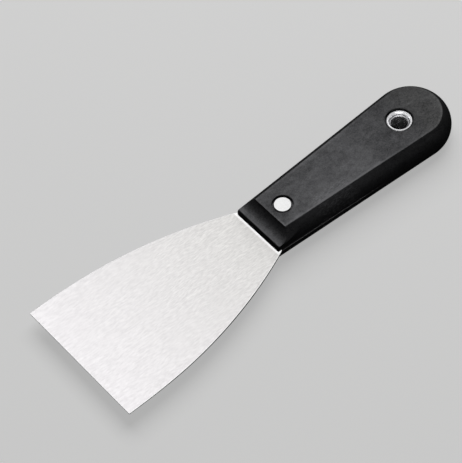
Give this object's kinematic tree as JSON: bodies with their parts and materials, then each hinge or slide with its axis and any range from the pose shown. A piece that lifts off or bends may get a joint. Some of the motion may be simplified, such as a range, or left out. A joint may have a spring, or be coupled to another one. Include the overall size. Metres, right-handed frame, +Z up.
{
  "type": "ink knife",
  "caption": "Ink knife with a flat, flared, square-ended steel blade, black moulded handle with crowned sides and coved nose, compression rivet and hollow rivet that lines the hanging hole.",
  "frame": {"origin": "under the middle of the knife, in the plane of the handle's lower flat face", "axes": "+X from the working edge to the butt along the knife, +Y across the blade, +Z up, square to the flat of the blade"},
  "size_m": [0.1939, 0.0634, 0.016],
  "materials": {
    "blade_steel": "fine brushing along the blade",
    "handle_plastic": "fine moulded grain on the flat faces, smoother crowned sides",
    "rivet_metal": "satin, flat head",
    "eyelet_metal": "bright plated"
  },
  "bodies": {
    "root": {"blade": "blade_steel", "upper_scale": "handle_plastic", "lower_scale": "handle_plastic", "rivet_socket": "rivet_metal", "rivet_post": "rivet_metal", "eyelet_barrel": "eyelet_metal", "eyelet_ferrule": "eyelet_metal"}
  },
  "joints": []
}
